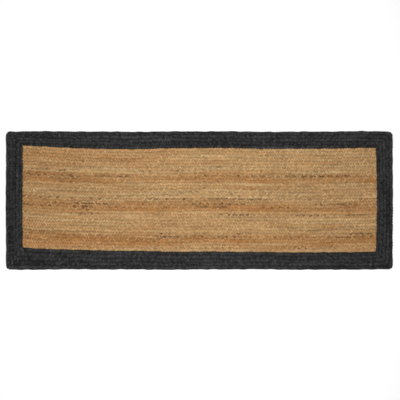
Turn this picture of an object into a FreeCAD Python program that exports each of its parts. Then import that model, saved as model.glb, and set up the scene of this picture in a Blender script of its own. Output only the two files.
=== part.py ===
import FreeCAD, Part

import os

import Sketcher

# A braided jute runner rug, in millimetres. X runs along the rug, Y across it and Z up.
# The origin is on the floor, under the middle of the rug.
#
# The field is a panel of flat jute braids, laid side by side along the rug and cut off square at both ends.
# The border is five more braids, dyed, each one a closed round about the last. A lacing thread in every
# seam pulls each braid tight against its neighbour. Nothing else holds the rug together.
#
# The field wasn't laid quite straight: its rows rise towards +Y near both ends, most at the -X end.
# The outside of the rug was pulled straight, so each round of the border takes up a share of that bow.

DIMENSIONS = [
    ("rug_length", 2134, "over the border, 7 ft"),
    ("rug_width", 762, "over the border, 2 ft 6 in"),
    ("braid_thickness", 9, "a braid, from the floor to its top"),
    ("braid_rounding", 4, "radius of a braid's long edges"),
    ("row_count", 33, "braids side by side in the field"),
    ("round_count", 5, "braids side by side in the border"),
    ("end_border", 88, "width of the border at the short sides"),
    ("far_border", 91, "width of the border at the +Y side, in mid-length"),
    ("near_border", 98, "width of the border at the -Y side, in mid-length"),
    ("thread_width", 1, "the lacing, squeezed between two braids"),
    ("thread_height", 4, "how much of a braid's thickness the lacing goes through"),
    ("left_bow_start", 420, "the rows bow from this far on the -X side of the middle"),
    ("left_bow_rise", 18, "and by this much at the -X end of the field"),
    ("right_bow_start", 730, "the rows bow from this far on the +X side of the middle"),
    ("right_bow_rise", 4, "and by this much at the +X end of the field"),
    ("field_corner", 2, "radius of the border's inside corners"),
    ("first_corner", 12, "radius of the corners of the seam round the first round"),
    ("rug_corner", 22, "radius of the rug's outside corners"),
]

document = FreeCAD.newDocument("runner_rug")


def make_sheet():
    """The driving dimensions, one row each: name, size, what it is."""
    made = document.addObject("Spreadsheet::Sheet", "sizes")
    for row, (alias, value, meaning) in enumerate(DIMENSIONS, start=1):
        made.set(f"A{row}", alias)
        made.set(f"B{row}", str(value))
        made.set(f"C{row}", meaning)
        made.setAlias(f"B{row}", alias)
    document.recompute()
    return made


sheet = make_sheet()


def size(expression):
    """The value in millimetres, or the count, that an expression on the sheet has."""
    return float(sheet.evalExpression(expression))


ROWS = int(size("sizes.row_count"))
ROUNDS = int(size("sizes.round_count"))

# The field's outline, to the middle of the seam round it.
FIELD_HEIGHT = "(sizes.rug_width - sizes.far_border - sizes.near_border)"
FIELD_MIDDLE = "((sizes.near_border - sizes.far_border) / 2)"
ROW_PITCH = f"({FIELD_HEIGHT} / sizes.row_count)"
HALF_THREAD = "(sizes.thread_width / 2)"


def named_plane(body, role):
    """One of the body's own origin planes."""
    return next(f for f in body.Origin.OriginFeatures if f.Role == role)


def sketch_on_floor(body, name, lift="0"):
    """An empty sketch on the body's XY plane, or above it by lift."""
    sketch = body.newObject("Sketcher::SketchObject", name)
    sketch.AttachmentSupport = [(named_plane(body, "XY_Plane"), "")]
    sketch.MapMode = "FlatFace"
    sketch.setExpression("AttachmentOffset.Base.z", lift)
    return sketch


def bind(sketch, name, kind, *where, expression):
    """Adds a dimension to the sketch, named and bound to the sheet."""
    index = sketch.addConstraint(Sketcher.Constraint(kind, *where, size(expression)))
    sketch.renameConstraint(index, name)
    sketch.setExpression(f"Constraints.{name}", expression)


START, END = 1, 2
ORIGIN = (-1, 1)
FLAT = FreeCAD.Vector(0, 0, 1)


def bowed_side(sketch, left, right, low, bows):
    """Adds one long side: an arc, a straight run and an arc, each arc flat where it meets the run.
    A bow of rise d over a run r is an arc of radius (r squared + d squared) / 2d, centred over its flat end."""
    (start_left, rise_left), (start_right, rise_right) = bows
    run_left, run_right = start_left - left, right - start_right
    radius_left = (run_left**2 + rise_left**2) / (2 * rise_left)
    radius_right = (run_right**2 + rise_right**2) / (2 * rise_right)
    edges = []
    for x, radius, end_x, rise in (
        (start_left, radius_left, left, rise_left),
        (start_right, radius_right, right, rise_right),
    ):
        circle = Part.Circle(FreeCAD.Vector(x, low + radius, 0), FLAT, radius)
        flat_end = circle.parameter(FreeCAD.Vector(x, low, 0))
        risen_end = circle.parameter(FreeCAD.Vector(end_x, low + rise, 0))
        edges.append(Part.ArcOfCircle(circle, *sorted((flat_end, risen_end))))
    straight = Part.LineSegment(
        FreeCAD.Vector(start_left, low, 0), FreeCAD.Vector(start_right, low, 0)
    )
    arc_left = sketch.addGeometry(edges[0])
    line = sketch.addGeometry(straight)
    arc_right = sketch.addGeometry(edges[1])
    sketch.addConstraint(
        [
            Sketcher.Constraint("Tangent", arc_left, END, line, START),
            Sketcher.Constraint("Tangent", line, END, arc_right, START),
            Sketcher.Constraint("Horizontal", line),
        ]
    )
    return arc_left, line, arc_right


def bowed_outline(sketch, half_length, low, height, share="1"):
    """Draws a closed outline with square ends and two long sides that bow alike.
    low is how far the lower side is below the X axis, and share is how much of the field's bow it has."""
    rise_left = f"sizes.left_bow_rise * {share}"
    rise_right = f"sizes.right_bow_rise * {share}"
    far = size(half_length)
    bows = (
        (-size("sizes.left_bow_start"), size(rise_left)),
        (size("sizes.right_bow_start"), size(rise_right)),
    )
    bottom, top = -size(low), size(height) - size(low)
    lower = bowed_side(sketch, -far, far, bottom, bows)
    upper = bowed_side(sketch, -far, far, top, bows)
    ends = []
    for low_edge, high_edge, point in ((lower[0], upper[0], START), (lower[2], upper[2], END)):
        end = Part.LineSegment(
            sketch.getPoint(low_edge, point), sketch.getPoint(high_edge, point)
        )
        line = sketch.addGeometry(end)
        sketch.addConstraint(
            [
                Sketcher.Constraint("Coincident", low_edge, point, line, START),
                Sketcher.Constraint("Coincident", line, END, high_edge, point),
                Sketcher.Constraint("Vertical", line),
            ]
        )
        ends.append(line)
    for mid_point in (START, END):
        sketch.addConstraint(
            Sketcher.Constraint("Vertical", lower[1], mid_point, upper[1], mid_point)
        )
    left_start, right_start = (lower[1], START), (lower[1], END)
    bind(sketch, "left", "DistanceX", lower[0], START, *ORIGIN, expression=half_length)
    bind(sketch, "right", "DistanceX", *ORIGIN, lower[2], END, expression=half_length)
    bind(sketch, "left_bow", "DistanceX", *left_start, *ORIGIN, expression="sizes.left_bow_start")
    bind(sketch, "right_bow", "DistanceX", *ORIGIN, *right_start, expression="sizes.right_bow_start")
    bind(sketch, "low", "DistanceY", *left_start, *ORIGIN, expression=low)
    bind(sketch, "height", "DistanceY", *left_start, upper[1], START, expression=height)
    for end, side in zip(ends, ("left", "right")):
        bind(sketch, f"{side}_height", "DistanceY", end, START, end, END, expression=height)
    bind(sketch, "left_rise", "DistanceY", *left_start, lower[0], START, expression=rise_left)
    bind(sketch, "right_rise", "DistanceY", *right_start, lower[2], END, expression=rise_right)


def straight_outline(sketch, half_length, half_width):
    """Draws a closed rectangle about the origin."""
    far, wide = size(half_length), size(half_width)
    corners = [
        FreeCAD.Vector(x, y, 0)
        for x, y in ((-far, -wide), (far, -wide), (far, wide), (-far, wide))
    ]
    for a, b in zip(corners, corners[1:] + corners[:1]):
        sketch.addGeometry(Part.LineSegment(a, b))
    for edge in range(4):
        sketch.addConstraint(
            Sketcher.Constraint("Coincident", edge, END, (edge + 1) % 4, START)
        )
        way = "Vertical" if edge % 2 else "Horizontal"
        sketch.addConstraint(Sketcher.Constraint(way, edge))
    bind(sketch, "left", "DistanceX", 0, START, *ORIGIN, expression=half_length)
    bind(sketch, "right", "DistanceX", *ORIGIN, 1, START, expression=half_length)
    bind(sketch, "low", "DistanceY", 0, START, *ORIGIN, expression=half_width)
    bind(sketch, "high", "DistanceY", *ORIGIN, 2, START, expression=half_width)


def pad(body, sketch, height):
    feature = body.newObject("PartDesign::Pad", sketch.Name + "_pad")
    feature.Profile = sketch
    feature.setExpression("Length", height)
    sketch.Visibility = False
    document.recompute()
    return feature


def cut_through(body, sketch):
    feature = body.newObject("PartDesign::Pocket", sketch.Name + "_pocket")
    feature.Profile = sketch
    feature.Type = "ThroughAll"
    feature.Midplane = True
    before = body.Shape.Volume
    document.recompute()
    assert body.Shape.Volume < 0.99 * before, f"{feature.Name} cuts nothing"
    return feature


def round_edges(body, name, base, edges, radius):
    feature = body.newObject("PartDesign::Fillet", name)
    feature.Base = (base, edges)
    feature.setExpression("Radius", radius)
    document.recompute()
    return feature


def edges_where(shape, keep):
    """The names of a shape's edges whose box passes the test keep."""
    return [f"Edge{n}" for n, edge in enumerate(shape.Edges, start=1) if keep(edge.BoundBox)]


def upright_corners(shape, half_length):
    """The four upright edges at the two ends of an outline of that half length."""
    far = size(half_length)
    return edges_where(
        shape, lambda box: box.ZLength > 1 and box.XLength < 0.01 and abs(abs(box.XMin) - far) < 0.01
    )


def soften_long_edges(body, name, base, end_x=None):
    """Rounds the edges round the top and the underside, but not those across a cut end at end_x."""
    def long_edge(box):
        across = end_x is not None and box.XLength < 0.01 and abs(abs(box.XMin) - end_x) < 0.01
        return box.ZLength < 0.01 and not across

    edges = edges_where(base.Shape, long_edge)
    return round_edges(body, name, base, edges, "sizes.braid_rounding")


def make_body(label):
    body = document.addObject("PartDesign::Body", label)
    body.Label = label
    return body


# The field: one braid to a row, all alike, stepped across the rug by the row pitch.

FIELD_HALF_LENGTH = f"(sizes.rug_length / 2 - sizes.end_border - {HALF_THREAD})"
FIELD_BRAID_WIDTH = f"({ROW_PITCH} - sizes.thread_width)"


def make_field_braid(row):
    """A flat plait cut off square at both ends. Row 1 lies at the -Y side."""
    body = make_body(f"field_braid_{row:02d}")
    outline = sketch_on_floor(body, f"row_{row:02d}_outline")
    bowed_outline(outline, FIELD_HALF_LENGTH, f"{FIELD_BRAID_WIDTH} / 2", FIELD_BRAID_WIDTH)
    strip = pad(body, outline, "sizes.braid_thickness")
    soften_long_edges(body, f"row_{row:02d}_edges", strip, end_x=size(FIELD_HALF_LENGTH))
    middle_row = "(sizes.row_count + 1) / 2"
    body.setExpression("Placement.Base.y", f"{FIELD_MIDDLE} + ({row} - {middle_row}) * {ROW_PITCH}")
    return body


def make_field_lacing():
    """The threads between the rows of the field, one to each seam."""
    body = make_body("field_lacing")
    outline = sketch_on_floor(body, "row_seam_outline", THREAD_LIFT)
    bowed_outline(outline, FIELD_HALF_LENGTH, HALF_THREAD, "sizes.thread_width")
    first = pad(body, outline, "sizes.thread_height")
    seams = body.newObject("PartDesign::LinearPattern", "row_seams")
    seams.Originals = [first]
    seams.Direction = (named_plane(body, "Y_Axis"), [""])
    seams.setExpression("Occurrences", "sizes.row_count - 1")
    seams.setExpression("Length", f"(sizes.row_count - 2) * {ROW_PITCH}")
    body.Tip = seams
    body.setExpression("Placement.Base.y", f"{FIELD_MIDDLE} - (sizes.row_count / 2 - 1) * {ROW_PITCH}")
    document.recompute()
    assert len(body.Shape.Solids) == ROWS - 1, "the field's lacing has lost a seam"
    return body


# The border: seam 0 lies round the field, and seam 5 is the outside of the rug.

THREAD_LIFT = "(sizes.braid_thickness - sizes.thread_height) / 2"


def seam_corner(seam):
    """The radius of a seam's corners, as an expression: small at the field and wider towards the outside."""
    if seam == 0:
        return "sizes.field_corner"
    share = f"{seam - 1} / (sizes.round_count - 1)"
    return f"(sizes.first_corner + (sizes.rug_corner - sizes.first_corner) * {share})"


def seam_outline(sketch, seam, outset):
    """Draws the wall that is outset millimetres outside the middle of a seam. Returns its half length."""
    left_over = f"(1 - {seam} / sizes.round_count)"
    half_length = f"(sizes.rug_length / 2 - sizes.end_border * {left_over} + {outset})"
    if seam == ROUNDS:
        straight_outline(sketch, half_length, f"(sizes.rug_width / 2 + {outset})")
        return half_length
    low = f"(sizes.rug_width / 2 - sizes.near_border * {left_over} + {outset})"
    high = f"(sizes.rug_width / 2 - sizes.far_border * {left_over} + {outset})"
    bowed_outline(sketch, half_length, low, f"({low} + {high})", left_over)
    return half_length


def make_ring(label, height, lift, outer, inner):
    """A closed ring between two walls, each given as (seam, outset, corner radius or None for a sharp corner).
    The inside corners are rounded before the outside ones, while there is still room for them in a thin wall."""
    body = make_body(label)
    half_lengths = []
    for wall, (seam, outset, _) in (("outside", outer), ("inside", inner)):
        outline = sketch_on_floor(body, f"{label}_{wall}", lift)
        half_lengths.append(seam_outline(outline, seam, outset))
        feature = cut_through(body, outline) if half_lengths[1:] else pad(body, outline, height)
    for wall, half_length, corner in (
        ("inside", half_lengths[1], inner[2]),
        ("outside", half_lengths[0], outer[2]),
    ):
        if corner:
            corners = upright_corners(feature.Shape, half_length)
            assert len(corners) == 4, f"{label} has {len(corners)} corners {wall}"
            feature = round_edges(body, f"{label}_{wall}_corners", feature, corners, corner)
    return body, feature


def make_border_braid(number):
    """A round of dyed braid, its two ends butted together. Number 1 lies against the field."""
    inner_seam, outer_seam = number - 1, number
    outer_inset = "0" if outer_seam == ROUNDS else f"-{HALF_THREAD}"
    inner_corner = f"{seam_corner(inner_seam)} + {HALF_THREAD}"
    outer_corner = seam_corner(outer_seam)
    if outer_seam < ROUNDS:
        outer_corner += f" - {HALF_THREAD}"
    body, ring = make_ring(
        f"border_braid_{number}",
        "sizes.braid_thickness",
        "0",
        (outer_seam, outer_inset, outer_corner),
        (inner_seam, HALF_THREAD, inner_corner),
    )
    soften_long_edges(body, f"border_braid_{number}_edges", ring)
    return body


def make_border_lacing(seam):
    """The thread in one seam of the border. Seam 0 joins the first round to the field, whose corners are square."""
    label = "field_to_border_lacing" if seam == 0 else f"border_lacing_{seam}"
    inner_corner = f"{seam_corner(seam)} - {HALF_THREAD}" if seam else None
    body, _ = make_ring(
        label,
        "sizes.thread_height",
        THREAD_LIFT,
        (seam, HALF_THREAD, f"{seam_corner(seam)} + {HALF_THREAD}"),
        (seam, f"-{HALF_THREAD}", inner_corner),
    )
    return body


subparts = [make_field_braid(row) for row in range(1, ROWS + 1)]
subparts.append(make_field_lacing())
subparts += [make_border_braid(number) for number in range(1, ROUNDS + 1)]
subparts += [make_border_lacing(seam) for seam in range(ROUNDS)]

document.recompute()
failed = [o.Name for o in document.Objects if {"Invalid", "Error"} & set(o.State)]
assert not failed, f"these objects failed: {failed}"

os.makedirs("parts", exist_ok=True)
for body in subparts:
    assert not body.Shape.isNull() and body.Shape.isValid(), f"{body.Label} has a bad shape"
    body.Shape.exportStep(os.path.join("parts", body.Label + ".step"))
    print(f"{body.Label}: {len(body.Shape.Solids)} solid(s), {body.Shape.Volume / 1000:.1f} cm3")
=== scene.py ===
import bpy
import numpy as np
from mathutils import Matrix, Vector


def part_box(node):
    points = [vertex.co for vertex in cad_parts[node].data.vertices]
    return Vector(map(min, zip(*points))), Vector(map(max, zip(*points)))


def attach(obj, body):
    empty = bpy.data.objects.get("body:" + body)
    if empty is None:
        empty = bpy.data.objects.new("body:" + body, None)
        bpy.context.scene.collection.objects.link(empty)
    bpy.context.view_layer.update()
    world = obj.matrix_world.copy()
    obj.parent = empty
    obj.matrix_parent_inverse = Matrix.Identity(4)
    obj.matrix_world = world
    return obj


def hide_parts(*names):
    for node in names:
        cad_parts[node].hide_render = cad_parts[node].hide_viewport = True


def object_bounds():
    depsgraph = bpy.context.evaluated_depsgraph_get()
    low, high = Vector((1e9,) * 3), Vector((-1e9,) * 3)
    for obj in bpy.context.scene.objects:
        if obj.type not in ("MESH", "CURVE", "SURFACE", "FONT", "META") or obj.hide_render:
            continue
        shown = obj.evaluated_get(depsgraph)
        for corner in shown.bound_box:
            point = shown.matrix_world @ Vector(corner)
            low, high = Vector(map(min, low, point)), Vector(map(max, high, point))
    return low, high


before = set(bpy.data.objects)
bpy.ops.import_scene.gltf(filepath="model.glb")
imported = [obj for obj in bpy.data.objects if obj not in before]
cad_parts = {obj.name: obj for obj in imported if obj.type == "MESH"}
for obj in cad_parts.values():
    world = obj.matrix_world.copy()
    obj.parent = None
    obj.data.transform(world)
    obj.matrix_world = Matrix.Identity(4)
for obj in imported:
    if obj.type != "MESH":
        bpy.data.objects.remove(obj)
cad_box = [list(map(float, corner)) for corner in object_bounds()]

# ---------------------------------------------------------------------------------------------------------
# Camera, floor and light. The rug lies on a white studio floor and is seen from straight above, through a
# long lens, with its length from left to right. The light is a white tent with a strip lamp hung across the
# middle of the rug. It casts next to no shadow, and falls off in the grooves and towards the rug's two ends.

FRAME_WIDTH = 2.2125
LENS, SENSOR = 100.0, 36.0
AIM = (0.0028, 0.0028)
TENT_WALL, TENT_TOP, TENT_FALLOFF = 0.22, 1.1, 4.0
LAMP_POWER, LAMP_SIZE, LAMP_PLACE = 56.0, (1.2, 4.0), (-0.05, 0.0, 2.1)
FLOOR_REACH = 40.0


def srgb(hex_colour, alpha=1.0):
    """A colour written as sRGB hex, such as "c8a576", turned to linear red, green, blue and alpha."""
    values = np.array([int(hex_colour[i : i + 2], 16) for i in (0, 2, 4)]) / 255
    linear = np.where(values <= 0.04045, values / 12.92, ((values + 0.055) / 1.055) ** 2.4)
    return (*linear.tolist(), alpha)


def add_node(owner, kind, settings=None, **inputs):
    """Adds a node to a material or a world. settings are its own properties. inputs are its sockets, by
    identifier or by name with _ for a space: a node or a socket is linked, and anything else is the value."""
    tree = owner.node_tree
    made = tree.nodes.new(kind)
    for name, value in (settings or {}).items():
        setattr(made, name, value)
    for name, value in inputs.items():
        names = (name, name.replace("_", " "))
        socket = next(s for s in made.inputs if s.enabled and (s.identifier in names or s.name in names))
        if isinstance(value, bpy.types.Node):
            value = next(s for s in value.outputs if s.enabled)
        if isinstance(value, bpy.types.NodeSocket):
            tree.links.new(value, socket)
        else:
            socket.default_value = value
    return made


def new_material(name):
    """A material with no nodes yet."""
    material = bpy.data.materials.new(name)
    material.use_nodes = True
    material.node_tree.nodes.clear()
    return material


def link_object(name, data):
    """A new object, in the scene and at the origin."""
    made = bpy.data.objects.new(name, data)
    bpy.context.scene.collection.objects.link(made)
    return made


lens = bpy.data.cameras.new("overhead_lens")
lens.lens, lens.sensor_width = LENS, SENSOR
lens.clip_end = 60
camera = link_object("overhead_camera", lens)
camera.location = (*AIM, cad_box[1][2] + FRAME_WIDTH * LENS / SENSOR)
bpy.context.scene.camera = camera
bpy.context.scene.view_settings.view_transform = "Standard"

tent = bpy.data.worlds.new("white_tent")
tent.use_nodes = True
tent.node_tree.nodes.clear()
direction = add_node(tent, "ShaderNodeTexCoord").outputs["Generated"]
height = add_node(tent, "ShaderNodeSeparateXYZ", Vector=direction).outputs["Z"]
above = add_node(tent, "ShaderNodeMath", {"operation": "MAXIMUM"}, Value=height, Value_001=0.0)
glow = add_node(tent, "ShaderNodeMath", {"operation": "POWER"}, Value=above, Value_001=TENT_FALLOFF)
strength = add_node(tent, "ShaderNodeMapRange", Value=glow, To_Min=TENT_WALL, To_Max=TENT_TOP)
cloth = add_node(tent, "ShaderNodeBackground", Color=(1, 1, 1, 1), Strength=strength)
add_node(tent, "ShaderNodeOutputWorld", Surface=cloth)
bpy.context.scene.world = tent

softbox = bpy.data.lights.new("strip_softbox", "AREA")
softbox.shape = "RECTANGLE"
softbox.energy, (softbox.size, softbox.size_y) = LAMP_POWER, LAMP_SIZE
link_object("strip_softbox", softbox).location = LAMP_PLACE

sweep = bpy.data.meshes.new("studio_floor")
floor_corners = [(-FLOOR_REACH, -FLOOR_REACH, 0), (FLOOR_REACH, -FLOOR_REACH, 0)]
floor_corners += [(FLOOR_REACH, FLOOR_REACH, 0), (-FLOOR_REACH, FLOOR_REACH, 0)]
sweep.from_pydata(floor_corners, [], [(0, 1, 2, 3)])
floor = link_object("studio_floor", sweep)
paper = new_material("white_seamless_paper")
grain = add_node(paper, "ShaderNodeTexNoise", Scale=900.0, Detail=2.0)
relief = add_node(paper, "ShaderNodeBump", Strength=0.05, Distance=0.0002, Height=grain.outputs["Fac"])
coating = add_node(
    paper,
    "ShaderNodeBsdfPrincipled",
    Base_Color=srgb("fdfdfd"),
    Roughness=0.9,
    Normal=relief,
)
add_node(paper, "ShaderNodeOutputMaterial", Surface=coating)
sweep.materials.append(paper)

# ---------------------------------------------------------------------------------------------------------
# The field braids. Each is a flat plait of three strands of raw jute fibre, 9 mm thick, sewn on 17.4 mm
# from the last. It was braided by hand and pressed flat, then cut off square at both ends. Raw jute runs
# from pale straw to orange-brown, and a hank keeps its tint for a hand's breadth or two before the next is
# worked in.

ROWS = 33
STRANDS = 3
PLAIT_PERIODS = (0.038, 0.048)
RINGS_PER_PERIOD = 12
SIDES = 8
# How far a strand swings and rises, as a share of the braid's half width and half height.
STRAND_SWING, STRAND_LIFT = 0.54, 0.56
# The plaiting hand's pace and reach change over a hand's breadth, and each strand swells over a lobe or two.
HAND_STEP, PACE_CHANGE, SWING_CHANGE = 0.13, 0.35, 0.04
SWELL_STEP, SWELL = 0.028, 0.07
STRAND_RADIUS = 0.2  # of a strand's bundle of fibres, as a share of the row's width
NESTING = 1.21  # how much wider a braid is than its row, as its loops are pulled in between the next braid's
# Where the rows start to bow, and how far they rise from there to the end of the field.
LEFT_BOW = (-0.420, 0.018)
RIGHT_BOW = (0.730, 0.004)

rug_low, rug_high = (np.array(corner) for corner in cad_box)
thickness = float(rug_high[2] - rug_low[2])
first_low, first_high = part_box("field_braid_01")
field_half_length = float(first_high.x)
row_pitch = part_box("field_braid_02")[0].y - first_low.y
row_width = first_high.y - first_low.y - LEFT_BOW[1]
first_row = first_low.y + row_width / 2


def bow(x, share, half_length):
    """How far a lengthwise seam rises at x. Each end is an arc, flat where it starts: over a run r with a
    rise d its radius R is (r squared + d squared) / 2d, so at a distance t past its start it has risen by
    R - root(R squared - t squared). A seam in the border has a share of the field's bow."""
    rise = np.zeros_like(x)
    for start, full_rise in (LEFT_BOW, RIGHT_BOW):
        run = half_length - abs(start)
        height = np.maximum(full_rise * share, 1e-9)
        radius = (run**2 + height**2) / (2 * height)
        past = np.clip((x - start) * np.sign(start), 0, run)
        rise = rise + radius - np.sqrt(radius**2 - past**2)
    return rise


def drift(rng, along, step, channels=1):
    """Slow random change along a length: a random value from -1 to 1 at every step, joined by cosine ramps.
    Gives one row per channel."""
    place = along / step
    place = place - place.min()
    values = rng.uniform(-1, 1, (channels, int(place.max()) + 2))
    cell = np.floor(place).astype(int)
    ramp = (1 - np.cos(np.pi * (place - cell))) / 2
    return values[:, cell] * (1 - ramp) + values[:, cell + 1] * ramp


def closed_drift(rng, along, step, channels, closed):
    """drift(), and on a closed round its last stretch is led back to its first value."""
    made = drift(rng, along, step, channels)
    if closed:
        lead = np.clip((along - along.max()) / step + 1, 0, 1)
        made = made * (1 - lead) + made[:, :1] * lead
    return made


def plait_points(run, width, height, rng, closed=False):
    """A straight flat plait of three strands, as an array [strand, ring, side, (along, across, up)] in
    metres, with the angle of each side round its strand, how far along each ring is, and lobes[strand, ring].
    That counts each strand's lobes: it passes a whole number where the strand is hidden under the others.

    A strand swings across as swing * sin(w) and rises and dips as -lift * sin(2w), where w grows by a full
    turn in one period and the strands are a third of a turn apart. So each strand comes in from an edge over
    the one in the middle, and goes out under the next. Its section is an ellipse across its own direction."""
    periods = round(run / rng.uniform(*PLAIT_PERIODS))
    rings = periods * RINGS_PER_PERIOD + (0 if closed else 1)
    along = np.arange(rings) * run / (periods * RINGS_PER_PERIOD)
    pace, reach = closed_drift(rng, along, HAND_STEP, 2, closed)
    swell = SWELL * closed_drift(rng, along, SWELL_STEP, STRANDS, closed)
    turn = np.arange(STRANDS)[:, None] / STRANDS
    wave = 2 * np.pi * (along * periods / run + turn) + PACE_CHANGE * pace
    swing = width / 2 * STRAND_SWING * (1 + SWING_CHANGE * reach)
    hand = rng.choice((-1, 1))
    lift = height / 2 * STRAND_LIFT * hand
    across, up = swing * np.sin(wave), -lift * np.sin(2 * wave)
    rate = 2 * np.pi * periods / run
    across_slope, up_slope = swing * rate * np.cos(wave), -2 * lift * rate * np.cos(2 * wave)

    def unit_vector(a, b, c):
        vector = np.stack(np.broadcast_arrays(a, b, c), axis=-1)
        return vector / np.linalg.norm(vector, axis=-1, keepdims=True)

    sideways = unit_vector(-across_slope, np.ones_like(wave), 0.0)
    upwards = unit_vector(-up_slope, -across_slope * up_slope, 1 + across_slope**2)
    angle = 2 * np.pi * np.arange(SIDES) / SIDES
    half_width = width / 2 * (1 - STRAND_SWING) * (1 + swell)
    half_height = height / 2 * (1 - STRAND_LIFT) * (1 - swell / 2)
    centre = np.stack([np.broadcast_to(along, wave.shape), across, up], axis=-1)
    points = (
        centre[:, :, None]
        + (half_width[..., None] * np.cos(angle))[..., None] * sideways[:, :, None]
        + (half_height[..., None] * np.sin(angle))[..., None] * upwards[:, :, None]
    )
    points[..., 2] += height / 2
    return points, angle, along, wave / np.pi - hand / 4


def tube_faces(tubes, rings, sides, closed):
    """Quads round each tube, facing out, and for an open tube the two many-sided ends. A closed tube is laid
    round the rug with its across to the right of its way, not to the left, which mirrors it. So its quads are
    wound the other way round."""
    ring_steps = np.arange(rings if closed else rings - 1)
    tube, ring, side = np.meshgrid(np.arange(tubes), ring_steps, np.arange(sides), indexing="ij")

    def vertex(t, r, s):
        return (t * rings + r % rings) * sides + s % sides

    quads = np.stack(
        [
            vertex(tube, ring, side),
            vertex(tube, ring, side + 1),
            vertex(tube, ring + 1, side + 1),
            vertex(tube, ring + 1, side),
        ],
        axis=-1,
    ).reshape(-1, 4)
    if closed:
        return quads[:, ::-1], np.empty((0, sides), int)
    around = np.arange(sides)
    first = np.stack([vertex(t, 0, around[::-1]) for t in range(tubes)])
    last = np.stack([vertex(t, rings - 1, around) for t in range(tubes)])
    return quads, np.concatenate([first, last])


def make_mesh(name, points, quads, caps, attributes):
    """A smooth mesh object from whole arrays. attributes are {name: one value or one vector per vertex}."""
    mesh = bpy.data.meshes.new(name)
    corners = np.concatenate([quads.ravel(), caps.ravel()]).astype(np.int32)
    totals = np.concatenate([np.full(len(quads), 4), np.full(len(caps), caps.shape[1])])
    starts = np.concatenate([[0], np.cumsum(totals)[:-1]])
    mesh.vertices.add(points.size // 3)
    mesh.vertices.foreach_set("co", points.astype(np.float32).ravel())
    mesh.loops.add(len(corners))
    mesh.loops.foreach_set("vertex_index", corners)
    mesh.polygons.add(len(totals))
    mesh.polygons.foreach_set("loop_start", starts.astype(np.int32))
    for label, values in attributes.items():
        kind, key = ("FLOAT_VECTOR", "vector") if values.shape[-1] == 3 else ("FLOAT", "value")
        made = mesh.attributes.new(label, kind, "POINT")
        made.data.foreach_set(key, values.astype(np.float32).ravel())
    mesh.update(calc_edges=True)
    mesh.polygons.foreach_set("use_smooth", np.ones(len(totals), bool))
    return link_object(name, mesh)


def fibre_coordinates(shape, angle, along, strand_radius, rng, twist=55.0, stretch=12.0):
    """Where each vertex is in its strand's own bundle of fibres, in millimetres: round the bundle, which
    twists by twist radians a metre, and along it, shortened stretch times so that a pattern draws out into
    fibres. Each strand starts somewhere else along it, so no two strands have the same fibres."""
    starts = rng.uniform(0, 4000, shape[0])[:, None, None]
    turned = angle[None, None, :] + twist * along[None, :, None] + np.zeros(shape[:3])
    radius = strand_radius * 1000
    return np.stack(
        [
            radius * np.cos(turned),
            radius * np.sin(turned),
            np.broadcast_to(along[None, :, None] * 1000 / stretch + starts, shape[:3]),
        ],
        axis=-1,
    )


# How the sewing pulled the rug out of true, as distances and the places where they set in or fade. The
# field's sides are drawn in at the left, it lies nearer at the right, and its right end bulges.
FIELD_SIDE, END_BORDER = 0.285, 0.088
TIGHT_SIDES, TIGHT_FROM, TIGHT_FADE = 0.0050, -0.22, 0.12
NEARER_FIELD, NEARER_FROM, NEARER_FADE = 0.0030, 0.20, 0.10
END_BULGE, BULGE_FROM, BULGE_MIDDLE = 0.0050, 0.90, 0.4
LEFT_PUSH, RIGHT_PUSH = 0.0036, 0.0016
# The waviness of each seam: its size, its turning with x and with y in radians a metre, and its start.
WAVES_ACROSS = ((0.0011, 7.3, 2.1, 0.6), (0.0007, 17.9, -5.0, 0.0), (0.0008, 61.0, 9.0, 0.0))
WAVES_ACROSS += ((0.0006, 97.0, -14.0, 1.1),)
WAVES_ALONG = ((0.0009, 1.3, 11.7, 0.0), (0.0007, 5.0, 67.0, 0.0))


def ripple(points):
    """The unevenness of hand work. Every seam wanders a millimetre or two, as a sum of sine waves. Left of
    the middle the field draws in 5 mm from each side, and right of it it lies 3 mm nearer, each fading in as
    a tanh. At the right its end bulges 2 mm and its corners draw in 3 mm, as 5 mm times 0.4 - (y / half
    width) to the 4th. The border runs out 3.6 mm at the left end and 1.6 mm at the right."""
    x, y = points[..., 0], points[..., 1]
    side = np.interp(np.abs(y), [0, FIELD_SIDE, rug_high[1]], [0, 1, 0]) * np.sign(y)
    level = np.interp(np.abs(y), [FIELD_SIDE, rug_high[1]], [1, 0])
    leftward = (1 - np.tanh((x - TIGHT_FROM) / TIGHT_FADE)) / 2
    rightward = (1 + np.tanh((x - NEARER_FROM) / NEARER_FADE)) / 2
    field_end = np.interp(x, [BULGE_FROM, field_half_length, rug_high[0]], [0, 1, 0])
    outward = np.minimum(np.abs(y), FIELD_SIDE) / FIELD_SIDE
    moved = points.copy()
    for axis, waves in ((1, WAVES_ACROSS), (0, WAVES_ALONG)):
        for height, with_x, with_y, start in waves:
            moved[..., axis] += height * np.sin(with_x * x + with_y * y + start)
    moved[..., 1] -= TIGHT_SIDES * side * leftward + NEARER_FIELD * level * rightward
    moved[..., 0] -= LEFT_PUSH * np.clip((-field_half_length - x) / END_BORDER, 0, 1)
    moved[..., 0] += RIGHT_PUSH * np.clip((x - field_half_length) / END_BORDER, 0, 1)
    moved[..., 0] += END_BULGE * field_end * (BULGE_MIDDLE - outward**4)
    return moved


# Three lots of brown jute went into the field. Each is warmest at one row and fades over its neighbours, as
# exp(-(rows away / spread) squared), and its dark, barky hanks lie a row further on. The rest is straw, which
# is paler towards the far side, differs a little from row to row, and is warmer towards the left end.
BROWN_ROWS, BROWN_SPREAD, BROWN_WARMTH = (4.0, 15.0, 24.0), 1.4, 0.36
BARK_SPREAD, BARK_DARKNESS, STRAY_BARK = 1.4, 0.75, 0.6
NEAR_WARMTH, FAR_WARMTH, ROW_CHANGE = 0.36, 0.27, 0.09
LEFT_END_WARMTH, LEFT_END_REACH = 0.12, 0.25

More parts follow.
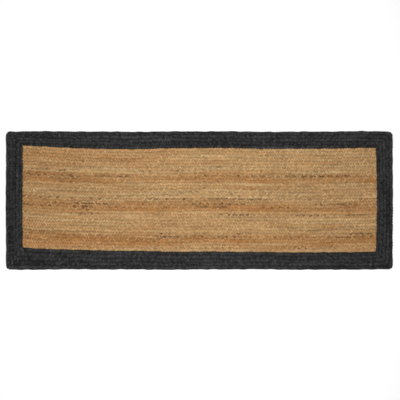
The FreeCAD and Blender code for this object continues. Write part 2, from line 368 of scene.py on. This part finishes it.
row_rng = np.random.default_rng(300)
rows_away = np.arange(1, ROWS + 1)[:, None] - np.array(BROWN_ROWS)
row_warmth = (
    np.linspace(NEAR_WARMTH, FAR_WARMTH, ROWS)
    + BROWN_WARMTH * np.exp(-((rows_away / BROWN_SPREAD) ** 2)).sum(axis=1)
    + ROW_CHANGE * row_rng.uniform(-1, 1, ROWS)
)
row_darkness = (
    BARK_DARKNESS * np.exp(-(((rows_away - 1) / BARK_SPREAD) ** 2)).sum(axis=1)
    + STRAY_BARK * row_rng.uniform(0, 1, ROWS) ** 2
)


# Slow changes along a braid: how strong each is, and over how many metres it changes.
BRAID_WARMTH_DRIFT, STRAND_WARMTH_DRIFT = (0.12, 0.33), (0.22, 0.12)
BRAID_BARK_DRIFT, STRAND_BARK_DRIFT = (0.8, 0.11), (0.7, 0.04)
# The last of these makes one side of each braid lighter than the other, as painted light for fibres that
# catch the lamp.
LONG_TONE_DRIFT, SHORT_TONE_DRIFT, SIDE_LIGHT_DRIFT = (0.4, 0.26), (0.5, 0.06), (1.5, 0.09)
# Bark shows where the drift and the row's darkness add up to more than BARK_START. Of the row's darkness
# the braid's three strands have these shares, and one of its sides has less of all bark than the other.
STRAND_SHARES_OF_BARK, OTHER_SIDE_OF_BARK = (1.0, 0.7, 0.3), 0.25
BARK_START, BARK_FROM_ROW, BARK_GAIN, BARK_MOST = 1.0, 1.7, 1.3, 0.85
LOBE_CONTRAST, LOBE_BLEND, LEAST_TONE = 0.25, 0.3, 0.3
# The dip and crown shading is painted: painted shade where the strands go down and towards the seams, and a
# painted highlight on the middle of each braid.
MEAN_DEPTH, MEAN_CROWN = 0.2, 0.35  # where the shading by dip and by crown is neither darker nor lighter


def scaled_drift(rng, along, change, channels=1):
    """drift(), with how strong it is and its step as one pair."""
    strength, step = change
    return strength * drift(rng, along, step, channels)


def strand_shades(rng, points, along, lobes, warmth, darkness, spread, dip_shade, crown_shading):
    """Three shades for each vertex. Warmth is how far a strand is from straw to orange-brown. Darkness picks
    out dark hanks, on one strand and one side of the braid more than on the others. Tone is how bright it is.
    It changes along the braid, and by about spread from one lobe to the next on the same side, as each lobe's
    fibres lie another way. Across the braid one side is lighter than the other by a drifting amount, which is
    painted light. It falls by the dip strength where the strands go down, which is painted shade, and by the
    crown strength from a painted highlight on the middle of the braid to painted shade at its seams."""
    warm = warmth + scaled_drift(rng, along, BRAID_WARMTH_DRIFT)
    warm = warm + scaled_drift(rng, along, STRAND_WARMTH_DRIFT, STRANDS)
    lead = rng.permutation(STRAND_SHARES_OF_BARK)[:, None]
    hanks = scaled_drift(rng, along, BRAID_BARK_DRIFT) + scaled_drift(rng, along, STRAND_BARK_DRIFT, STRANDS)
    dark = np.clip((hanks - BARK_START + BARK_FROM_ROW * darkness * lead) * BARK_GAIN, 0, BARK_MOST)
    dark = dark * np.where(np.floor(lobes) % 2 == rng.integers(2), 1.0, OTHER_SIDE_OF_BARK)
    # In the order they lie along the braid, lobe number n of strand s is number 3n - 2s of them all.
    count = round(float(lobes.max() - lobes.min()))
    values = rng.uniform(-1, 1, STRANDS * count)
    values = values - LOBE_CONTRAST * (np.roll(values, 2) + np.roll(values, -2))
    number = np.floor(lobes - 0.5).astype(int)
    ramp = np.clip((lobes - 1 - number) / LOBE_BLEND + 0.5, 0, 1)
    order = 3 * number - 2 * np.arange(STRANDS)[:, None]
    lobe = values[order % len(values)] * (1 - ramp) + values[(order + 3) % len(values)] * ramp
    slow = scaled_drift(rng, along, LONG_TONE_DRIFT) + scaled_drift(rng, along, SHORT_TONE_DRIFT)
    bright = 1 + spread * (slow + lobe)
    side = points[..., 1] / np.abs(points[..., 1]).max()
    # Painted light: one side of the braid is lighter than the other, by an amount that drifts along it.
    side_light = spread * scaled_drift(rng, along, SIDE_LIGHT_DRIFT)[0][None, :, None]
    depth = np.clip(1 - points[..., 2] / thickness, 0, 1)
    bright = np.maximum(bright[:, :, None] + side_light * side, LEAST_TONE)
    # Painted shade where the strands go down into the braid, and a painted highlight on its middle with
    # painted shade towards its seams.
    bright = bright * (1 + dip_shade * (MEAN_DEPTH - depth)) * (1 + crown_shading * (MEAN_CROWN - side**2))
    return {
        "warmth": np.broadcast_to(warm[:, :, None], points.shape[:3]).reshape(-1, 1),
        "darkness": np.broadcast_to(dark[:, :, None], points.shape[:3]).reshape(-1, 1),
        "tone_and_shade": bright.reshape(-1, 1),
    }


def raw_jute(name):
    """Raw jute, combed and hand-plaited. The fibre is half glossy and half dusty: it reads as long, fine,
    golden streaks that follow each strand, with brown bark specks and a rough, broken highlight."""
    material = new_material(name)
    place = add_node(material, "ShaderNodeAttribute", {"attribute_name": "fibre"}).outputs["Vector"]
    warm = add_node(material, "ShaderNodeAttribute", {"attribute_name": "warmth"}).outputs["Fac"]
    dark = add_node(material, "ShaderNodeAttribute", {"attribute_name": "darkness"}).outputs["Fac"]
    # The brightness attribute holds random tone together with painted shade and painted light.
    tone_and_shade = add_node(material, "ShaderNodeAttribute", {"attribute_name": "tone_and_shade"}).outputs["Fac"]
    # A fibre bundle that shows is about 0.7 mm across. A hank of one tint is about 3 mm across.
    fibres = add_node(material, "ShaderNodeTexNoise", Vector=place, Scale=1.4, Detail=4.0, Roughness=0.65)
    hanks = add_node(material, "ShaderNodeTexNoise", Vector=place, Scale=0.33, Detail=2.0)
    specks = add_node(material, "ShaderNodeTexNoise", Vector=place, Scale=2.6, Detail=1.0)
    spread = add_node(
        material,
        "ShaderNodeMapRange",
        Value=fibres.outputs["Fac"],
        From_Min=0.30,
        From_Max=0.70,
    )
    straw = add_node(
        material,
        "ShaderNodeMix",
        {"data_type": "RGBA"},
        Factor_Float=spread,
        A_Color=srgb("8c7652"),
        B_Color=srgb("ccae7d"),
    )
    rust = add_node(
        material,
        "ShaderNodeMix",
        {"data_type": "RGBA"},
        Factor_Float=spread,
        A_Color=srgb("754c22"),
        B_Color=srgb("ad7135"),
    )
    blotch = add_node(
        material,
        "ShaderNodeMath",
        {"operation": "MULTIPLY_ADD"},
        Value=hanks.outputs["Fac"],
        Value_001=1.3,
        Value_002=-0.55,
    )
    warmth = add_node(
        material,
        "ShaderNodeMath",
        {"operation": "ADD", "use_clamp": True},
        Value=warm,
        Value_001=blotch,
    )
    tinted = add_node(
        material,
        "ShaderNodeMix",
        {"data_type": "RGBA"},
        Factor_Float=warmth,
        A_Color=straw,
        B_Color=rust,
    )
    bark = add_node(
        material,
        "ShaderNodeMapRange",
        Value=specks.outputs["Fac"],
        From_Min=0.66,
        From_Max=0.76,
        To_Max=0.55,
    )
    strands_of_bark = add_node(
        material,
        "ShaderNodeMapRange",
        Value=hanks.outputs["Fac"],
        From_Min=0.36,
        From_Max=0.48,
        To_Max=dark,
    )
    shade = add_node(
        material,
        "ShaderNodeMath",
        {"operation": "MAXIMUM"},
        Value=bark,
        Value_001=strands_of_bark,
    )
    coloured = add_node(
        material,
        "ShaderNodeMix",
        {"data_type": "RGBA"},
        Factor_Float=shade,
        A_Color=tinted,
        B_Color=srgb("4e3019"),
    )
    toned = add_node(
        material, "ShaderNodeVectorMath", {"operation": "SCALE"}, Vector=coloured, Scale=tone_and_shade
    )
    gloss = add_node(
        material,
        "ShaderNodeMapRange",
        Value=fibres.outputs["Fac"],
        To_Min=0.80,
        To_Max=0.50,
    )
    relief = add_node(
        material, "ShaderNodeBump", Strength=0.8, Distance=0.0006, Height=fibres.outputs["Fac"]
    )
    skin = add_node(
        material,
        "ShaderNodeBsdfPrincipled",
        Base_Color=toned,
        Roughness=gloss,
        IOR=1.45,
        Specular_IOR_Level=0.3,
        Sheen_Weight=0.12,
        Sheen_Roughness=0.6,
        Sheen_Tint=srgb("f0dcb8"),
        Normal=relief,
    )
    add_node(material, "ShaderNodeOutputMaterial", Surface=skin)
    return material


def field_braid(row, material):
    """Row 1 is at the near side. The plait's own along, across and up become x, the row's line and z."""
    rng = np.random.default_rng(100 + row)
    points, angle, along, lobes = plait_points(2 * field_half_length, row_pitch * NESTING, thickness, rng)
    x = points[..., 0] - field_half_length
    line = first_row + (row - 1) * row_pitch + bow(x, 1.0, field_half_length)
    placed = ripple(np.stack([x, line + points[..., 1], points[..., 2]], axis=-1))
    fibre = fibre_coordinates(points.shape, angle, along, row_pitch * STRAND_RADIUS, rng)
    warmth = row_warmth[row - 1] + LEFT_END_WARMTH * np.exp(-along / LEFT_END_REACH)
    darkness = row_darkness[row - 1]
    # The last three set the tone's random spread and the strength of its painted shade and painted highlight.
    shades = strand_shades(rng, points, along, lobes, warmth, darkness, spread=0.17, dip_shade=1.2, crown_shading=0.16)
    quads, caps = tube_faces(STRANDS, len(along), SIDES, closed=False)
    braid = make_mesh(
        f"natural_braid_{row:02d}",
        placed,
        quads,
        caps,
        {"fibre": fibre, **shades},
    )
    braid.data.materials.append(material)
    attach(braid, "root")
    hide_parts(f"field_braid_{row:02d}")


jute = raw_jute("raw_jute_fibre")
for row in range(1, ROWS + 1):
    field_braid(row, jute)

# ---------------------------------------------------------------------------------------------------------
# The border braids. Five plaits of the same jute, dyed charcoal, each laid round the last and turned at the
# corners, where its outer edge stretches and its inner edge bunches. Its two ends are butted and sewn.

ROUNDS = 5
FAR_BORDER, NEAR_BORDER = 0.091, 0.098
FIELD_CORNER, FIRST_CORNER, RUG_CORNER = 0.002, 0.012, 0.022

rug_half_length, rug_half_width = float(rug_high[0]), float(rug_high[1])
border_pitch = (END_BORDER + FAR_BORDER + NEAR_BORDER) / 3 / ROUNDS


def seam_measures(seam):
    """Half length, how far the near and far sides are out, the share of the field's bow and the corner radius
    of the seam, from 0 round the field to 5 at the rug's edge. seam may be an array, and in between seams."""
    left_over = 1 - seam / ROUNDS
    corner = np.where(
        seam < 1,
        FIELD_CORNER + (FIRST_CORNER - FIELD_CORNER) * seam,
        FIRST_CORNER + (RUG_CORNER - FIRST_CORNER) * (seam - 1) / (ROUNDS - 1),
    )
    return (
        rug_half_length - END_BORDER * left_over,
        rug_half_width - NEAR_BORDER * left_over,
        rug_half_width - FAR_BORDER * left_over,
        left_over,
        corner,
    )


def side_ends(seam):
    """The corner arcs' centres, in order round the rug from the near left corner: arrays x and y."""
    half_length, near, far, share, corner = seam_measures(seam)
    inset = half_length - corner
    rise_left, rise_right = (bow(np.asarray(x), share, half_length) for x in (-inset, inset))
    centre_x = np.stack([-inset, inset, inset, -inset])
    centre_y = np.stack(
        [
            -near + rise_left + corner,
            -near + rise_right + corner,
            far + rise_right - corner,
            far + rise_left - corner,
        ]
    )
    return centre_x, centre_y


def round_place(seam, stretch, part):
    """A point of a round. stretch is 0, 2, 4, 6 along the near, right, far and left sides and 1, 3, 5, 7
    round the corners that follow them, and part is how far along it the point is, from 0 to 1."""
    half_length, near, far, share, corner = seam_measures(seam)
    centre_x, centre_y = side_ends(seam)
    side = stretch // 2
    turning = stretch % 2 == 1
    here, after = side, (side + 1) % 4
    pick = tuple(np.indices(seam.shape))
    from_x, from_y = centre_x[(here, *pick)], centre_y[(here, *pick)]
    to_x, to_y = centre_x[(after, *pick)], centre_y[(after, *pick)]
    outward = (side - 1 + np.where(turning, part, 0)) * np.pi / 2
    base_x = np.where(turning, to_x, from_x + (to_x - from_x) * part)
    base_y = np.where(turning, to_y, from_y + (to_y - from_y) * part)
    x = base_x + corner * np.cos(outward)
    y = base_y + corner * np.sin(outward)
    along_side = side % 2 == 0
    edge = np.where(side == 0, -near, far) + bow(x, share, half_length)
    return x, np.where(along_side & ~turning, edge, y)


def round_breaks(middle):
    """Where each side and corner of a round begins, measured along its middle line, and its whole length."""
    centre_x, centre_y = side_ends(np.asarray(middle))
    corner = float(seam_measures(np.asarray(middle))[4])
    lengths = []
    for side in range(4):
        after = (side + 1) % 4
        straight = np.hypot(centre_x[after] - centre_x[side], centre_y[after] - centre_y[side])
        lengths += [float(straight), corner * np.pi / 2]
    return np.concatenate([[0], np.cumsum(lengths)])


def dyed_jute(name):
    """Jute dyed charcoal in the hank, then plaited. The dye takes unevenly, so the fibre's streaks still
    show, as dark grey on near black, with a few pale fibres that missed the dye and a soft highlight."""
    material = new_material(name)
    place = add_node(material, "ShaderNodeAttribute", {"attribute_name": "fibre"}).outputs["Vector"]
    warm = add_node(material, "ShaderNodeAttribute", {"attribute_name": "warmth"}).outputs["Fac"]
    # The brightness attribute holds random tone together with painted shade and painted light.
    tone_and_shade = add_node(material, "ShaderNodeAttribute", {"attribute_name": "tone_and_shade"}).outputs["Fac"]
    fibres = add_node(material, "ShaderNodeTexNoise", Vector=place, Scale=1.4, Detail=4.0, Roughness=0.65)
    missed = add_node(material, "ShaderNodeTexNoise", Vector=place, Scale=2.2, Detail=1.0)
    spread = add_node(
        material,
        "ShaderNodeMapRange",
        Value=fibres.outputs["Fac"],
        From_Min=0.30,
        From_Max=0.70,
    )
    charcoal = add_node(
        material,
        "ShaderNodeMix",
        {"data_type": "RGBA"},
        Factor_Float=spread,
        A_Color=srgb("0e0e0e"),
        B_Color=srgb("272727"),
    )
    faded = add_node(
        material,
        "ShaderNodeMapRange",
        Value=warm,
        From_Min=-0.2,
        From_Max=0.9,
        To_Max=0.8,
    )
    uneven = add_node(
        material,
        "ShaderNodeMix",
        {"data_type": "RGBA"},
        Factor_Float=faded,
        A_Color=charcoal,
        B_Color=srgb("363636"),
    )
    pale = add_node(
        material,
        "ShaderNodeMapRange",
        Value=missed.outputs["Fac"],
        From_Min=0.68,
        From_Max=0.78,
        To_Max=0.5,
    )
    coloured = add_node(
        material,
        "ShaderNodeMix",
        {"data_type": "RGBA"},
        Factor_Float=pale,
        A_Color=uneven,
        B_Color=srgb("6d6a66"),
    )
    toned = add_node(
        material, "ShaderNodeVectorMath", {"operation": "SCALE"}, Vector=coloured, Scale=tone_and_shade
    )
    gloss = add_node(
        material, "ShaderNodeMapRange", Value=fibres.outputs["Fac"], To_Min=0.75, To_Max=0.45
    )
    relief = add_node(
        material, "ShaderNodeBump", Strength=0.8, Distance=0.0006, Height=fibres.outputs["Fac"]
    )
    skin = add_node(
        material,
        "ShaderNodeBsdfPrincipled",
        Base_Color=toned,
        Roughness=gloss,
        IOR=1.45,
        Specular_IOR_Level=0.15,
        Sheen_Weight=0.02,
        Sheen_Roughness=0.6,
        Sheen_Tint=srgb("c8c8c8"),
        Normal=relief,
    )
    add_node(material, "ShaderNodeOutputMaterial", Surface=skin)
    return material


def on_round(points, breaks, number):
    """Bends a straight plait round the rug: along becomes the way round, and across the seam number."""
    seam = number - 0.5 + points[..., 1] / border_pitch
    along = points[..., 0] % breaks[-1]
    stretch = np.clip(np.searchsorted(breaks, along, side="right") - 1, 0, len(breaks) - 2)
    part = (along - breaks[stretch]) / np.diff(breaks)[stretch]
    x, y = round_place(seam, stretch, part)
    return ripple(np.stack([x, y, points[..., 2]], axis=-1))


def border_braid(number, material):
    """Round 1 lies against the field."""
    rng = np.random.default_rng(200 + number)
    breaks = round_breaks(number - 0.5)
    width = border_pitch * NESTING
    points, angle, along, lobes = plait_points(breaks[-1], width, thickness, rng, closed=True)
    placed = on_round(points, breaks, number)
    fibre = fibre_coordinates(points.shape, angle, along, border_pitch * STRAND_RADIUS, rng)
    # The last three set the tone's random spread and the strength of its painted shade and painted highlight,
    # strong on the dark border.
    shades = strand_shades(
        rng, points, along, lobes, warmth=0.1, darkness=0.0, spread=0.50, dip_shade=1.8, crown_shading=1.1
    )
    quads, caps = tube_faces(STRANDS, len(along), SIDES, closed=True)
    braid = make_mesh(
        f"charcoal_braid_{number}",
        placed,
        quads,
        caps,
        {"fibre": fibre, **shades},
    )
    braid.data.materials.append(material)
    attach(braid, "root")
    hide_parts(f"border_braid_{number}")


charcoal = dyed_jute("charcoal_dyed_jute_fibre")
for number in range(1, ROUNDS + 1):
    border_braid(number, charcoal)

# ---------------------------------------------------------------------------------------------------------
# The lacing. One jute thread in each seam, 1.2 mm thick, drawn through the edge loops of the two braids
# beside it and pulled tight, so it winds along the seam and shows only as short bars in the groove.

THREAD_RADIUS, THREAD_SIDES = 0.0006, 4
STITCH, RINGS_PER_STITCH = 0.020, 7
STITCH_REACH, STITCH_DEPTH = 0.0026, 0.0024


def lacing_points(run, closed):
    """A straight lacing thread, as an array [ring, side, (along, across, up)]. It is a flattened helix:
    across goes as the cosine and up as the sine of one turn for each stitch."""
    stitches = round(run / STITCH)
    rings = stitches * RINGS_PER_STITCH + (0 if closed else 1)
    along = np.arange(rings) * run / (stitches * RINGS_PER_STITCH)
    wave = 2 * np.pi * along * stitches / run
    rate = 2 * np.pi * stitches / run
    centre = np.stack([along, STITCH_REACH * np.cos(wave), STITCH_DEPTH * np.sin(wave)], axis=-1)
    heading = np.stack(
        [
            np.ones_like(along),
            -STITCH_REACH * rate * np.sin(wave),
            STITCH_DEPTH * rate * np.cos(wave),
        ],
        axis=-1,
    )
    heading /= np.linalg.norm(heading, axis=-1, keepdims=True)
    outward = np.stack([np.zeros_like(along), np.cos(wave), np.sin(wave)], axis=-1)
    outward -= (outward * heading).sum(-1, keepdims=True) * heading
    outward /= np.linalg.norm(outward, axis=-1, keepdims=True)
    third = np.cross(heading, outward)
    angle = 2 * np.pi * np.arange(THREAD_SIDES) / THREAD_SIDES
    points = (
        centre[:, None]
        + THREAD_RADIUS * np.cos(angle)[:, None] * outward[:, None]
        + THREAD_RADIUS * np.sin(angle)[:, None] * third[:, None]
    )
    points[..., 2] += thickness / 2
    return points


def spun_thread(name, low, high):
    """Two-ply jute thread: hard spun, with a slant of fine plies that catches the light."""
    material = new_material(name)
    place = add_node(material, "ShaderNodeTexCoord").outputs["Object"]
    # The plies show as slanting bands, about a millimetre from one to the next.
    plies = add_node(
        material,
        "ShaderNodeTexWave",
        {"bands_direction": "DIAGONAL"},
        Vector=place,
        Scale=350.0,
        Distortion=3.0,
    )
    coloured = add_node(
        material,
        "ShaderNodeMix",
        {"data_type": "RGBA"},
        Factor_Float=plies.outputs["Fac"],
        A_Color=srgb(low),
        B_Color=srgb(high),
    )
    relief = add_node(
        material, "ShaderNodeBump", Strength=0.5, Distance=0.0002, Height=plies.outputs["Fac"]
    )
    skin = add_node(
        material,
        "ShaderNodeBsdfPrincipled",
        Base_Color=coloured,
        Roughness=0.8,
        IOR=1.45,
        Normal=relief,
    )
    add_node(material, "ShaderNodeOutputMaterial", Surface=skin)
    return material


def finish_lacing(name, points, closed, material, node):
    """Makes the threads of one node of lacing. points is [thread, ring, side, xyz]."""
    quads, caps = tube_faces(points.shape[0], points.shape[1], THREAD_SIDES, closed)
    lacing = make_mesh(name, points, quads, caps, {})
    lacing.data.materials.append(material)
    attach(lacing, "root")
    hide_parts(node)


natural_thread = spun_thread("natural_jute_thread", "8a6a40", "c9a671")
charcoal_thread = spun_thread("charcoal_jute_thread", "1c1c1c", "3a3a3a")

straight_thread = lacing_points(2 * field_half_length, closed=False)
seams = []
for row in range(1, ROWS):
    x = straight_thread[..., 0] - field_half_length
    line = first_row + (row - 0.5) * row_pitch + bow(x, 1.0, field_half_length)
    seams.append(ripple(np.stack([x, line + straight_thread[..., 1], straight_thread[..., 2]], axis=-1)))
finish_lacing(
    "field_lacing_threads", np.stack(seams), False, natural_thread, "field_lacing"
)

for seam in range(ROUNDS):
    breaks = round_breaks(float(seam))
    thread = lacing_points(breaks[-1], closed=True)
    laid = on_round(thread, breaks, seam + 0.5)
    node = f"border_lacing_{seam}" if seam else "field_to_border_lacing"
    finish_lacing(f"{node}_thread", laid[None], True, charcoal_thread, node)
